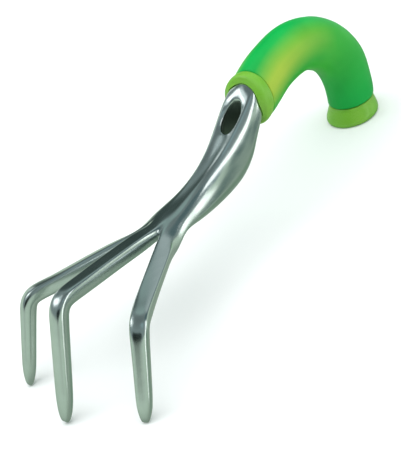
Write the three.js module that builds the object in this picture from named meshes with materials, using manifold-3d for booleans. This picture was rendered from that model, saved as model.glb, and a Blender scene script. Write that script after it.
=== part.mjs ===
// Hand cultivator: a cast three-tine head on a shank with a hang slot, held in a swan-neck grip.
//
// Millimetres, +Z up. The tool is drawn in its side profile: fore-and-aft is x (tines towards -x, grip
// towards +x), height is z and the tool is symmetric about y = 0. The finished group is then pitched
// forward so that it lies the way it rests on a bench, on its tine tips and the lip of its end cap.

import * as THREE from 'three';
import { mergeVertices } from 'three/addons/utils/BufferGeometryUtils.js';
import Module from 'manifold-3d';

// ---------------------------------------------------------------- driving dimensions

const GAP = 0.3;                      // clearance between touching pieces

// Pitch of the tool as it rests: the end cap's flat face and the middle tine's tip lie on the bench.
const REST_PITCH = THREE.MathUtils.degToRad(29.3);

// Swan-neck grip: centreline in profile (x, z), evenly spaced from the collar seam to the end face, with
// the sleeve's outer radius at each point.
const GRIP_AXIS = [
  [55.4, 104.2], [73.0, 120.2], [95.0, 131.0], [118.4, 131.2], [138.8, 121.7], [151.6, 103.1], [156.6, 81.4],
];
const GRIP_RADII = [15.8, 15.4, 15.9, 16.4, 16.2, 15.2, 14.3];
const CAP_SEAM = 0.895;               // where the sleeve meets the end cap, as a fraction of the centreline
const SLEEVE_WALL = 3.2;
const SEGMENTS = 28;                  // facets round the grip
const SLEEVE_STEPS = 20;              // rings along the sleeve
const CORE_STEPS = 16;                // rings along the core

// The sections lean away from square to the centreline towards both ends of the sleeve.
const SEAM_LEAN = THREE.MathUtils.degToRad(24);
const LEAN_REACH = 0.3;

// Collar: ring centres and radii from its seam to its rolled front edge, and the front face's lean.
const COLLAR_FRONT = [48.0, 99.9];
const COLLAR_FRONT_LEAN = THREE.MathUtils.degToRad(29);
const COLLAR_RADII = [15.9, 16.1, 16.2, 16.0, 15.4, 14.4];

// End cap: fraction of the way from its seam to its end face, and radius there.
const CAP_PROFILE = [
  [0, 14.7], [0.2, 15.1], [0.45, 16.0], [0.7, 16.9], [0.86, 17.0], [0.96, 16.0], [1, 14.2],
];
const SPIGOT_RADIUS = 7;
const SPIGOT_LENGTH = 11;

// Spring pin through the tang
const PIN_CENTRE = [66.4, 114.0];
const PIN_RADIUS = 1.6;
const PIN_LENGTH = 21;
const PIN_FACETS = 16;

// Tines
const ARM_ROOT_HALF_WIDTH = 5.2;
const ARM_HALF_WIDTH = 5.1;
const ARM_HALF_DEPTH = 4.3;
const TINE_HALF_WIDTH = 4.5;
const TINE_HALF_DEPTH = 3.0;
const OUTER_SLIM = 0.86;              // the outer tines' width towards their tips, next to the middle one's
const TIP_WIDTHS = [0.45, 0.82];      // share of the width left at the last point and the one before it
const TIP_DEPTHS = [0.5, 0.8];

// Half of a tine's cross-section: where its shoulders are across it, how high its corners stand and how
// high its middle stands, as fractions of the half width and the half depth.
const ARM_SECTION = { shoulder: 0.84, corner: 0.7, crown: 1.04 };
const TINE_SECTION = { shoulder: 0.72, corner: 0.5, crown: 1.12 };

// Shank slices from the tang's end to the fork. Each slice is a cross-section through the shank:
// where it meets the top and the bottom of the profile, its half width, the half width of its raised
// top ridges and how far the channel between them sinks (negative where the top is crowned instead).
const SHANK = [
  { top: [71.5, 124.0], bottom: [77.0, 116.8], width: 5.0, ridge: 2.2, sink: 0 },
  { top: [69.6, 123.2], bottom: [75.8, 114.6], width: 6.6, ridge: 2.6, sink: 0 },
  { top: [58.0, 115.5], bottom: [65.0, 105.5], width: 7.0, ridge: 3.0, sink: 0 },
  { top: [52.4, 113.0], bottom: [60.2, 99.4], width: 8.6, ridge: 4.2, sink: -1.2 },
  { top: [48.2, 110.8], bottom: [56.4, 96.8], width: 10.8, ridge: 5.6, sink: -3.0 },
  { top: [44.8, 107.0], bottom: [53.6, 92.2], width: 12.1, ridge: 6.6, sink: -3.4 },
  { top: [40.9, 103.0], bottom: [51.0, 86.8], width: 12.6, ridge: 7.4, sink: -0.2 },
  { top: [37.4, 98.0], bottom: [49.0, 80.4], width: 12.7, ridge: 7.6, sink: 1.7 },
  { top: [33.2, 91.2], bottom: [47.6, 73.0], width: 12.4, ridge: 7.1, sink: 1.9 },
  { top: [30.2, 86.9], bottom: [46.8, 67.7], width: 12.0, ridge: 6.8, sink: 1.3 },
  { top: [24.2, 78.0], bottom: [42.3, 58.8], width: 10.9, ridge: 6.0, sink: 1.3 },
  { top: [17.0, 70.0], bottom: [34.0, 51.8], width: 9.9, ridge: 5.0, sink: 1.0 },
  { top: [6.6, 60.8], bottom: [20.5, 44.6], width: 9.8, ridge: 3.8, sink: 0.5 },
  { top: [-6.0, 52.0], bottom: [3.4, 38.4], width: 11.1, ridge: 3.6, sink: 0.2 },
  { top: [-19.0, 45.0], bottom: [-13.0, 35.2], width: 12.7, ridge: 4.6, sink: 0 },
];
const SHANK_EDGE = 0.42;              // height of the shank's widest line above its underside
const SHANK_BELLY = 0.34;             // height that the underside's curve rises to
const FLANK_ROUNDNESS = 0.9;
const BELLY_ROUNDNESS = 0.95;
const CHANNEL_SHOULDER = 0.8;         // share of the sink reached halfway from the middle to a ridge
const SLOT_ROWS = [6, 9];             // slices between which the slot opens
const SLOT_HALF_WIDTH = 5.7;
const SLOT_END_WIDTH = 0.6;           // the slot's width at its first and last slices, as a fraction
const SLOT_END_BULGE = 0.12;          // how far its ends reach towards the next slice, as a fraction
const SLOT_LEVELS = [0, 0.14, 0.86, 1];  // rings down the slot's wall
const POCKET_ROWS = 8;                // slices from the tang's end that the grip's pocket is made from
const POCKET_CLEARANCE = 0.5;

// Fork, where the shank becomes three arms: its height at the outer edges and over the arms, how far it
// arches across the tool and how far its outer arms roll outwards.
const FORK = { top: [-28.2, 40.0], bottom: [-26.2, 34.2], edge: 0.5, rise: 1.05, camber: 3.8, roll: 0.35 };

// Tine centreline points: (x, z) on the middle tine and (x, y, z) on an outer one.
const MIDDLE_TINE = [
  [-36.0, 33.4], [-50.0, 28.6], [-66.0, 22.8], [-82.0, 16.9], [-90.8, 13.8], [-96.2, 11.2], [-98.8, 6.6],
  [-98.6, 0.0], [-97.8, -14.0], [-96.8, -30.0], [-96.0, -43.5], [-95.6, -51.0], [-95.6, -55.2],
];
const OUTER_TINE = [
  [-36.0, 14.5, 28.0], [-46.5, 20.6, 22.7], [-58.0, 26.9, 16.5], [-69.6, 33.4, 9.9], [-77.0, 38.1, 6.2],
  [-81.3, 40.9, 3.5], [-82.9, 42.4, -0.8], [-82.9, 42.8, -6.0], [-82.5, 43.4, -16.0], [-82.1, 44.0, -28.0],
  [-81.7, 44.5, -39.0], [-81.5, 44.7, -44.4], [-81.4, 44.8, -48.4],
];
const OUTER_YAW = THREE.MathUtils.degToRad(29);
const BEND_POINT = 6;                 // centreline point where a tine turns down
const OVAL_POINTS = [3, 7];           // points between which an arm's bar turns into a tine's oval
const SETTLE_POINTS = 3;              // points over which an arm reaches its own yaw and width
const ROLL_POINTS = 4;                // points over which the fork's roll fades away

// ---------------------------------------------------------------- cage helpers

const TOP_COLUMNS = 12;               // quads across the top of the shank, four to each tine
const MIDDLE = TOP_COLUMNS / 2;
const RIDGE = 2;                      // columns from the middle to a ridge
const ARM_COLUMNS = 4;

const vec = (x, y, z) => new THREE.Vector3(x, y, z);
const mix = (a, b, t) => a + (b - a) * t;

// A quad cage: vertices are shared by key, faces are lists of keys.
class Cage {
  constructor() {
    this.points = new Map();
    this.faces = [];
  }

  put(key, point) {
    this.points.set(key, point);
    return key;
  }

  quad(a, b, c, d) {
    this.faces.push([a, b, c, d]);
  }

  arrays() {
    const keys = [...this.points.keys()];
    const index = new Map(keys.map((key, i) => [key, i]));
    return {
      points: keys.map((key) => this.points.get(key)),
      faces: this.faces.map((face) => face.map((key) => index.get(key))),
    };
  }
}

// One step of Catmull-Clark subdivision on a closed quad mesh.
function subdivide({ points, faces }) {
  const edgeKey = (a, b) => (a < b ? `${a}_${b}` : `${b}_${a}`);
  const centres = faces.map((face) => (
    face.reduce((sum, i) => sum.add(points[i]), vec(0, 0, 0)).divideScalar(face.length)
  ));
  const edges = new Map();
  faces.forEach((face, f) => {
    face.forEach((a, k) => {
      const b = face[(k + 1) % face.length];
      const key = edgeKey(a, b);
      if (!edges.has(key)) edges.set(key, { a, b, faces: [] });
      edges.get(key).faces.push(f);
    });
  });
  const around = points.map(() => ({ faces: vec(0, 0, 0), middles: vec(0, 0, 0), count: 0 }));
  faces.forEach((face, f) => {
    face.forEach((i) => around[i].faces.add(centres[f]));
  });
  const next = [];
  edges.forEach((edge) => {
    const middle = points[edge.a].clone().add(points[edge.b]).multiplyScalar(0.5);
    [edge.a, edge.b].forEach((i) => {
      around[i].middles.add(middle);
      around[i].count += 1;
    });
    const beside = centres[edge.faces[0]].clone().add(centres[edge.faces[1]]).multiplyScalar(0.5);
    edge.index = points.length + next.length;
    next.push(middle.add(beside).multiplyScalar(0.5));
  });
  const moved = points.map((point, i) => {
    const { faces: faceSum, middles, count } = around[i];
    return faceSum.clone().divideScalar(count)
      .add(middles.clone().multiplyScalar(2 / count))
      .add(point.clone().multiplyScalar(count - 3))
      .divideScalar(count);
  });
  const faceStart = points.length + next.length;
  const quads = [];
  faces.forEach((face, f) => {
    face.forEach((i, k) => {
      const after = edges.get(edgeKey(i, face[(k + 1) % face.length])).index;
      const before = edges.get(edgeKey(i, face[(k + face.length - 1) % face.length])).index;
      quads.push([i, after, faceStart + f, before]);
    });
  });
  return { points: [...moved, ...next, ...centres], faces: quads };
}

function quadGeometry({ points, faces }) {
  const geometry = new THREE.BufferGeometry();
  const positions = points.flatMap((p) => [p.x, p.y, p.z]);
  geometry.setAttribute('position', new THREE.Float32BufferAttribute(positions, 3));
  geometry.setIndex(faces.flatMap(([a, b, c, d]) => [a, b, c, a, c, d]));
  geometry.computeVertexNormals();
  return geometry;
}

// ---------------------------------------------------------------- head casting

// Cross-section of the shank: 13 points over the top and 13 under it, from -y to +y.
function shankSection(slice) {
  const top = vec(slice.top[0], 0, slice.top[1]);
  const bottom = vec(slice.bottom[0], 0, slice.bottom[1]);
  const up = top.clone().sub(bottom);
  const depth = up.length();
  up.normalize();
  const sinks = [slice.sink, CHANNEL_SHOULDER * slice.sink, 0];
  const section = { over: [], under: [] };
  for (let j = 0; j <= TOP_COLUMNS; j++) {
    const side = Math.sign(j - MIDDLE);
    const out = Math.abs(j - MIDDLE);
    let y = slice.ridge * Math.min(1, out / RIDGE);
    let z = depth - sinks[Math.min(out, RIDGE)];
    if (out > RIDGE) {
      const angle = ((out - RIDGE) / (MIDDLE - RIDGE)) * Math.PI / 2;
      y = mix(slice.ridge, slice.width, Math.sin(angle));
      z = mix(SHANK_EDGE * depth, depth, Math.cos(angle) ** FLANK_ROUNDNESS);
    }
    section.over.push(bottom.clone().addScaledVector(up, z).setY(side * y));
    const angle = (out / MIDDLE) * Math.PI / 2;
    const low = SHANK_BELLY * depth * (1 - Math.cos(angle) ** FLANK_ROUNDNESS);
    const spread = side * slice.width * Math.sin(angle) ** BELLY_ROUNDNESS;
    section.under.push(bottom.clone().addScaledVector(up, low).setY(spread));
  }
  return section;
}

// Cross-section of one tine: five points over it and five under it, from a flat-topped bar on the arm
// (oval 0) to a rounded one on the tine (oval 1).
function tineSection(centre, lateral, tangent, halfWidth, halfDepth, oval) {
  const up = lateral.clone().cross(tangent).normalize();
  const shoulder = mix(ARM_SECTION.shoulder, TINE_SECTION.shoulder, oval);
  const corner = mix(ARM_SECTION.corner, TINE_SECTION.corner, oval);
  const crown = mix(ARM_SECTION.crown, TINE_SECTION.crown, oval);
  const across = [-1, -shoulder, 0, shoulder, 1];
  const rise = [corner, 1, crown, 1, corner];
  const point = (k, sign) => centre.clone()
    .addScaledVector(lateral, across[k] * halfWidth)
    .addScaledVector(up, sign * rise[k] * halfDepth);
  return {
    over: across.map((_, k) => point(k, 1)),
    under: across.map((_, k) => point(k, -1)),
  };
}

// The fork slice is three tine sections side by side.
function forkSection() {
  const top = vec(FORK.top[0], 0, FORK.top[1]);
  const bottom = vec(FORK.bottom[0], 0, FORK.bottom[1]);
  const up = top.clone().sub(bottom).normalize();
  const centre = top.clone().add(bottom).multiplyScalar(0.5);
  const depth = top.distanceTo(bottom) / 2;
  const section = { over: [], under: [] };
  for (let j = 0; j <= TOP_COLUMNS; j++) {
    const y = ((j - MIDDLE) / MIDDLE) * 3 * ARM_ROOT_HALF_WIDTH;
    const rise = j === 0 || j === TOP_COLUMNS ? FORK.edge : FORK.rise;
    const drop = FORK.camber * (y / (2 * ARM_ROOT_HALF_WIDTH)) ** 2;
    section.over.push(centre.clone().addScaledVector(up, rise * depth - drop).setY(y));
    section.under.push(centre.clone().addScaledVector(up, -rise * depth - drop).setY(y));
  }
  return section;
}

function buildHeadCage() {
  const cage = new Cage();
  const sections = [...SHANK.map(shankSection), forkSection()];
  const inSlot = (i, j) => i >= SLOT_ROWS[0] && i < SLOT_ROWS[1] && (j === MIDDLE - 1 || j === MIDDLE);
  addShank(cage, sections, inSlot);
  addSlotWall(cage);
  addTines(cage, sections.length - 1);
  return cage;
}

// Skin a row of shank sections, leaving out the quads where the slot is, and close the first end.
function addShank(cage, sections, skipped) {
  const last = TOP_COLUMNS;
  sections.forEach((section, i) => {
    for (let j = 0; j <= last; j++) {
      cage.put(`t${i}_${j}`, section.over[j]);
      cage.put(`b${i}_${j}`, section.under[j]);
    }
  });
  for (let i = 0; i + 1 < sections.length; i++) {
    for (let j = 0; j < last; j++) {
      if (skipped(i, j)) continue;
      cage.quad(`t${i}_${j}`, `t${i}_${j + 1}`, `t${i + 1}_${j + 1}`, `t${i + 1}_${j}`);
      cage.quad(`b${i}_${j}`, `b${i + 1}_${j}`, `b${i + 1}_${j + 1}`, `b${i}_${j + 1}`);
    }
    cage.quad(`t${i}_0`, `t${i + 1}_0`, `b${i + 1}_0`, `b${i}_0`);
    cage.quad(`t${i}_${last}`, `b${i}_${last}`, `b${i + 1}_${last}`, `t${i + 1}_${last}`);
  }
  for (let j = 0; j < last; j++) {
    cage.quad(`t0_${j}`, `b0_${j}`, `b0_${j + 1}`, `t0_${j + 1}`);
  }
}

// The slot: an oval hole through the shank, with a short rounded step inside each mouth.
function addSlotWall(cage) {
  const [first, last] = SLOT_ROWS;
  const loop = [];
  for (let i = first; i <= last; i++) loop.push([i, MIDDLE - 1]);
  loop.push([last, MIDDLE]);
  for (let i = last; i >= first; i--) loop.push([i, MIDDLE + 1]);
  loop.push([first, MIDDLE]);
  for (let i = first + 1; i < last; i++) {
    cage.points.delete(`t${i}_${MIDDLE}`);
    cage.points.delete(`b${i}_${MIDDLE}`);
  }
  ['t', 'b'].forEach((letter) => {
    [[first, first - 1], [last, last + 1]].forEach(([row, beyond]) => {
      const next = cage.points.get(`${letter}${beyond}_${MIDDLE}`);
      cage.points.get(`${letter}${row}_${MIDDLE}`).lerp(next, SLOT_END_BULGE);
    });
  });
  const key = (level, [i, j]) => {
    if (level === 0) return `t${i}_${j}`;
    if (level === SLOT_LEVELS.length - 1) return `b${i}_${j}`;
    return `w${level}_${i}_${j}`;
  };
  loop.forEach(([i, j]) => {
    const atEnd = i === first || i === last;
    const y = (j - MIDDLE) * SLOT_HALF_WIDTH * (atEnd ? SLOT_END_WIDTH : 1);
    cage.points.get(`t${i}_${j}`).setY(y);
    cage.points.get(`b${i}_${j}`).setY(y);
    for (let level = 1; level < SLOT_LEVELS.length - 1; level++) {
      const over = cage.points.get(`t${i}_${j}`);
      cage.put(key(level, [i, j]), over.clone().lerp(cage.points.get(`b${i}_${j}`), SLOT_LEVELS[level]));
    }
  });
  for (let level = 0; level + 1 < SLOT_LEVELS.length; level++) {
    loop.forEach((spot, n) => {
      const next = loop[(n + 1) % loop.length];
      cage.quad(key(level, spot), key(level + 1, spot), key(level + 1, next), key(level, next));
    });
  }
}

function addTines(cage, forkRow) {
  [-1, 0, 1].forEach((side, arm) => {
    const centres = side === 0
      ? MIDDLE_TINE.map(([x, z]) => vec(x, 0, z))
      : OUTER_TINE.map(([x, y, z]) => vec(x, side * y, z));
    const count = centres.length;
    const yaw = side * OUTER_YAW;
    const name = (letter, i, k) => {
      if (i < 0) return `${letter}${forkRow}_${ARM_COLUMNS * arm + k}`;
      return `${letter}${arm}tine${i}_${k}`;
    };
    centres.forEach((centre, i) => {
      const before = centres[Math.max(i - 1, 0)];
      const after = centres[Math.min(i + 1, count - 1)];
      const tangent = after.clone().sub(before).normalize();
      const settled = Math.min(1, (i + 1) / SETTLE_POINTS);
      const turn = yaw * settled;
      const roll = side * FORK.roll * Math.max(0, 1 - i / ROLL_POINTS);
      const lateral = vec(Math.sin(turn), Math.cos(turn), -roll);
      lateral.addScaledVector(tangent, -lateral.dot(tangent)).normalize();
      const along = Math.max(0, (i - BEND_POINT) / (count - 1 - BEND_POINT));
      const last = count - 1 - i;
      const close = TIP_WIDTHS[last] ?? 1;
      const root = mix(ARM_ROOT_HALF_WIDTH, ARM_HALF_WIDTH, settled);
      const slim = side === 0 ? 1 : mix(1, OUTER_SLIM, along);
      const halfWidth = mix(root, TINE_HALF_WIDTH, along) * close * slim;
      const halfDepth = mix(ARM_HALF_DEPTH, TINE_HALF_DEPTH, along) * (TIP_DEPTHS[last] ?? 1);
      const oval = THREE.MathUtils.smoothstep(i, ...OVAL_POINTS);
      const section = tineSection(centre, lateral, tangent, halfWidth, halfDepth, oval);
      for (let k = 0; k <= ARM_COLUMNS; k++) {
        cage.put(name('t', i, k), section.over[k]);
        cage.put(name('b', i, k), section.under[k]);
      }
    });
    for (let i = -1; i + 1 < count; i++) {
      for (let k = 0; k < ARM_COLUMNS; k++) {
        cage.quad(name('t', i, k), name('t', i, k + 1), name('t', i + 1, k + 1), name('t', i + 1, k));
        cage.quad(name('b', i, k), name('b', i + 1, k), name('b', i + 1, k + 1), name('b', i, k + 1));
      }
      cage.quad(name('t', i, 0), name('t', i + 1, 0), name('b', i + 1, 0), name('b', i, 0));
      const edge = ARM_COLUMNS;
      cage.quad(name('t', i, edge), name('b', i, edge), name('b', i + 1, edge), name('t', i + 1, edge));
    }
    const end = count - 1;
    for (let k = 0; k < ARM_COLUMNS; k++) {
      cage.quad(name('t', end, k), name('t', end, k + 1), name('b', end, k + 1), name('b', end, k));
    }
  });
}

// ---------------------------------------------------------------- solids

const { Manifold, Mesh } = await loadManifold();

async function loadManifold() {
  const wasm = await Module();
  wasm.setup();
  return wasm;
}

function toSolid(geometry) {
  const bare = geometry.clone();
  bare.deleteAttribute('normal');
  bare.deleteAttribute('uv');
  const merged = mergeVertices(bare, 1e-4);
  return new Manifold(new Mesh({
    numProp: 3,
    vertProperties: merged.attributes.position.array,
    triVerts: new Uint32Array(merged.index.array),
  }));
}

function toGeometry(solid) {
  const mesh = solid.getMesh();
  const geometry = new THREE.BufferGeometry();
  geometry.setAttribute('position', new THREE.BufferAttribute(mesh.vertProperties, 3));
  geometry.setIndex(new THREE.BufferAttribute(mesh.triVerts, 1));
  geometry.computeVertexNormals();
  return geometry;
}

// A ring of points square to a direction that lies in the tool's plane of symmetry.
function ring(centre, direction, radius) {
  const up = vec(-direction.z, 0, direction.x);
  return Array.from({ length: SEGMENTS }, (_, k) => {
    const angle = (k / SEGMENTS) * 2 * Math.PI;
    return centre.clone()
      .addScaledVector(up, radius * Math.sin(angle))
      .setY(radius * Math.cos(angle));
  });
}

// Skin a row of rings. A closed row is a tube whose last ring joins its first; an open one gets flat ends.
function loft(rings, closed) {
  const positions = rings.flat().flatMap((p) => [p.x, p.y, p.z]);
  const index = [];
  const spans = closed ? rings.length : rings.length - 1;
  for (let i = 0; i < spans; i++) {
    const here = i * SEGMENTS;
    const next = ((i + 1) % rings.length) * SEGMENTS;
    for (let k = 0; k < SEGMENTS; k++) {
      const after = (k + 1) % SEGMENTS;
      index.push(here + k, next + after, next + k, here + k, here + after, next + after);
    }
  }
  if (!closed) {
    const last = (rings.length - 1) * SEGMENTS;
    for (let k = 1; k + 1 < SEGMENTS; k++) {
      index.push(0, k + 1, k, last, last + k, last + k + 1);
    }
  }
  const geometry = new THREE.BufferGeometry();
  geometry.setAttribute('position', new THREE.Float32BufferAttribute(positions, 3));
  geometry.setIndex(index);
  geometry.computeVertexNormals();
  return geometry;
}

// ---------------------------------------------------------------- grip

const axisPoints = GRIP_AXIS.map(([x, z]) => vec(x, 0, z));
const gripAxis = new THREE.CatmullRomCurve3(axisPoints, false, 'catmullrom', 0.5);

function gripRadius(t) {
  const place = t * (GRIP_RADII.length - 1);
  const i = Math.min(Math.floor(place), GRIP_RADII.length - 2);
  const f = place - i;
  return mix(GRIP_RADII[i], GRIP_RADII[i + 1], f * f * (3 - 2 * f));
}

const downOnBench = vec(Math.sin(REST_PITCH), 0, -Math.cos(REST_PITCH));

// Which way the grip's section faces at a fraction t of the centreline. The sections lean towards the
// collar's seam at one end and turn square to the bench at the other.
function gripDirection(t) {
  const tangent = gripAxis.getTangentAt(t);
  const nearSeam = Math.max(0, 1 - t / LEAN_REACH) ** 2;
  const nearCap = Math.max(0, 1 - (CAP_SEAM - t) / LEAN_REACH) ** 2;
  if (t >= CAP_SEAM) return downOnBench.clone();
  return tangent.applyAxisAngle(vec(0, 1, 0), SEAM_LEAN * nearSeam).lerp(downOnBench, nearCap).normalize();
}

function gripRing(t, radius) {
  return ring(gripAxis.getPointAt(t), gripDirection(t), radius);
}

const steps = (from, to, count) => Array.from({ length: count + 1 }, (_, i) => mix(from, to, i / count));

function sleeveGeometry() {
  const length = gripAxis.getLength();
  const places = steps(GAP / length, CAP_SEAM - GAP / length, SLEEVE_STEPS);
  const outside = places.map((t) => gripRing(t, gripRadius(t)));
  const inside = places.map((t) => gripRing(t, gripRadius(t) - SLEEVE_WALL));
  return loft([...outside, ...inside.reverse()], true);
}

function coreGeometry(side) {
  const length = gripAxis.getLength();
  const places = steps(GAP / length, CAP_SEAM - GAP / length, CORE_STEPS);
  const radius = (t) => gripRadius(t) - SLEEVE_WALL - GAP;
  const solid = toSolid(loft(places.map((t) => gripRing(t, radius(t))), false));
  const block = 200;
  const half = new THREE.BoxGeometry(block, block, block);
  half.translate(block / 2, side * (block + GAP) / 2, block / 2);
  return toGeometry(solid
    .intersect(toSolid(half))
    .subtract(tangPocket())
    .subtract(toSolid(pinGeometry(PIN_RADIUS + GAP, PIN_LENGTH + 2 * GAP)))
    .subtract(toSolid(spigotGeometry(SPIGOT_RADIUS + GAP, SPIGOT_LENGTH + GAP))));
}

function collarGeometry() {
  const last = COLLAR_RADII.length - 1;
  const front = vec(COLLAR_FRONT[0], 0, COLLAR_FRONT[1]);
  const rings = COLLAR_RADII.map((radius, i) => {
    const centre = gripAxis.getPointAt(0).lerp(front, i / last);
    const lean = mix(SEAM_LEAN, COLLAR_FRONT_LEAN, i / last);
    const direction = gripAxis.getTangentAt(0).applyAxisAngle(vec(0, 1, 0), lean);
    return ring(centre, direction, radius);
  });
  return toGeometry(toSolid(loft(rings.reverse(), false)).subtract(tangPocket()));
}

function spigotGeometry(radius, length) {
  const seam = gripAxis.getPointAt(CAP_SEAM);
  const from = seam.clone().addScaledVector(downOnBench, -length);
  const to = seam.clone().addScaledVector(downOnBench, 1);
  return loft([ring(from, downOnBench, radius), ring(to, downOnBench, radius)], false);
}

// The end cap reaches down to the bench that the tine tips rest on.
function capGeometry(benchLevel) {
  const seam = gripAxis.getPointAt(CAP_SEAM);
  const tangent = gripAxis.getTangentAt(CAP_SEAM);
  const reach = (benchLevel - seam.dot(downOnBench)) / tangent.dot(downOnBench);
  const rings = CAP_PROFILE.map(([part, radius]) => (
    ring(seam.clone().addScaledVector(tangent, part * reach), downOnBench, radius)
  ));
  return toGeometry(toSolid(loft(rings, false)).add(toSolid(spigotGeometry(SPIGOT_RADIUS, SPIGOT_LENGTH))));
}

function pinGeometry(radius, length) {
  const pin = new THREE.CylinderGeometry(radius, radius, length, PIN_FACETS);
  pin.translate(PIN_CENTRE[0], 0, PIN_CENTRE[1]);
  return pin;
}

// The space that the tang and the shank's shoulder take inside the grip, with clearance all round.
function tangPocket() {
  const slices = SHANK.slice(0, POCKET_ROWS).map(({ top, bottom, width, ...rest }) => {
    const up = vec(top[0] - bottom[0], 0, top[1] - bottom[1]).setLength(POCKET_CLEARANCE);
    return {
      ...rest,
      top: [top[0] + up.x, top[1] + up.z],
      bottom: [bottom[0] - up.x, bottom[1] - up.z],
      width: width + POCKET_CLEARANCE,
    };
  });
  const cage = new Cage();
  addShank(cage, slices.map(shankSection), () => false);
  const end = slices.length - 1;
  for (let j = 0; j < TOP_COLUMNS; j++) {
    cage.quad(`t${end}_${j}`, `t${end}_${j + 1}`, `b${end}_${j + 1}`, `b${end}_${j}`);
  }
  return toSolid(quadGeometry(subdivide(cage.arrays())));
}

// ---------------------------------------------------------------- assembly

function headGeometry() {
  const casting = toSolid(quadGeometry(subdivide(buildHeadCage().arrays())));
  return toGeometry(casting.subtract(toSolid(pinGeometry(PIN_RADIUS + GAP, PIN_LENGTH))));
}

// How far a geometry reaches in a direction.
function furthest(geometry, direction) {
  const { position } = geometry.attributes;
  let reach = -Infinity;
  for (let i = 0; i < position.count; i++) {
    reach = Math.max(reach, new THREE.Vector3().fromBufferAttribute(position, i).dot(direction));
  }
  return reach;
}

const aluminium = { color: '#a3aeae', roughness: 0.25, metalness: 1 };
const steel = { color: '#8d9090', roughness: 0.4, metalness: 1 };
const darkGreen = { color: '#28a845', roughness: 0.55, metalness: 0 };
const limeGreen = { color: '#78be41', roughness: 0.4, metalness: 0 };
const innerGreen = { color: '#6fae3d', roughness: 0.6, metalness: 0 };

const tool = new THREE.Group();
const head = headGeometry();
const pieces = [
  ['head_casting', head, aluminium],
  ['grip_sleeve', sleeveGeometry(), darkGreen],
  ['front_collar', collarGeometry(), limeGreen],
  ['end_cap', capGeometry(furthest(head, downOnBench)), limeGreen],
  ['core_half_near', coreGeometry(-1), innerGreen],
  ['core_half_far', coreGeometry(1), innerGreen],
  ['tang_pin', pinGeometry(PIN_RADIUS, PIN_LENGTH), steel],
];
pieces.forEach(([name, geometry, finish]) => {
  const mesh = new THREE.Mesh(geometry, new THREE.MeshStandardMaterial(finish));
  mesh.name = name;
  tool.add(mesh);
});

// Lay the tool down and put the middle of its footprint at the origin.
tool.rotation.y = REST_PITCH;
tool.updateMatrixWorld(true);
const extent = new THREE.Box3().setFromObject(tool, true);
tool.position.set(-(extent.min.x + extent.max.x) / 2, -(extent.min.y + extent.max.y) / 2, -extent.min.z);

const model = new THREE.Group();
model.add(tool);

export default model;
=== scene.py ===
# Hand cultivator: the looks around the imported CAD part, in metres and in the part's own frame.
#
# The shapes are drawn in millimetres in the tool's side profile: x fore and aft, z up, symmetric about
# y = 0. place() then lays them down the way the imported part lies.

import math

import bpy
from mathutils import Matrix, Vector
from mathutils.bvhtree import BVHTree


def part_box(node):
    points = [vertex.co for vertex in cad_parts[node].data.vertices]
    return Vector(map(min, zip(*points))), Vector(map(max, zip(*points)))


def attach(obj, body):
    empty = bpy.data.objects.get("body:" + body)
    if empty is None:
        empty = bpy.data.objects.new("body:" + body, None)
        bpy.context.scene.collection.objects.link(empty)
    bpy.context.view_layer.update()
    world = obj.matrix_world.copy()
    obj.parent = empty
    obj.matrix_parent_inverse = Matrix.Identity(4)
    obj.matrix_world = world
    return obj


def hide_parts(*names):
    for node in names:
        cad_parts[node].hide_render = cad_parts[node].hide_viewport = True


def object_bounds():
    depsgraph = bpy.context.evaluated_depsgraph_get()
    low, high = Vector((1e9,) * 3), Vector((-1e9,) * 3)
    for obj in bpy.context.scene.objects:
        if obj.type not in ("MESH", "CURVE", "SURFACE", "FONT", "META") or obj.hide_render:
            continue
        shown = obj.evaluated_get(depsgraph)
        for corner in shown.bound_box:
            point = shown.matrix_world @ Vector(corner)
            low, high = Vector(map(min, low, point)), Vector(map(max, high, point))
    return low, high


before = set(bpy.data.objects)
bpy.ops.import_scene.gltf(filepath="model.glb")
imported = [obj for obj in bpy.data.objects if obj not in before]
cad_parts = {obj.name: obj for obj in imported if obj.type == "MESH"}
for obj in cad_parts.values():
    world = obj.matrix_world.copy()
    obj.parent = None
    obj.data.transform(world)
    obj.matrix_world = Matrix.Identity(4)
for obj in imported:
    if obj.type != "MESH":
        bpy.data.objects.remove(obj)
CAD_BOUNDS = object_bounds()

# ---------------------------------------------------------------- the tool's measures, in millimetres

MM = 0.001
REST_PITCH = math.radians(29.3)
GAP = 0.3

# Swan-neck grip: centreline from the collar's seam to the end face, and the outer radius at each point.
GRIP_AXIS = [
    (55.4, 104.2), (73.0, 120.2), (95.0, 131.0), (118.4, 131.2), (138.8, 121.7), (151.6, 103.1),
    (156.6, 81.4),
]
GRIP_RADII = [15.8, 15.4, 15.9, 16.4, 16.2, 15.2, 14.3]
CAP_SEAM = 0.895  # where the sleeve meets the end cap, as a share of the centreline
SLEEVE_WALL = 3.2
SLEEVE_FILLET = 0.9
FILLET_STEPS = 6
SLEEVE_STEPS = 110
BORE_STEPS = 24
PARTING_HEIGHT = 0.1
PARTING_WIDTH = 0.55

# The sections lean away from square to the centreline towards both ends of the sleeve.
SEAM_LEAN = math.radians(24)
LEAN_REACH = 0.3

COLLAR_FRONT = (49.0, 100.9)
COLLAR_FRONT_LEAN = math.radians(18)
COLLAR_BOW = 1.6  # how far the lip's sides reach further forward than its top and bottom
# Share of the way from the seam to the front, with the outer radius there.
COLLAR_PROFILE = [
    (0.0, 15.4), (0.03, 15.8), (0.08, 16.0), (0.2, 16.1), (0.35, 16.2), (0.5, 16.2), (0.64, 16.0),
    (0.76, 15.7), (0.86, 15.2), (0.94, 14.6), (0.99, 14.1), (1.01, 13.7),
]
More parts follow.
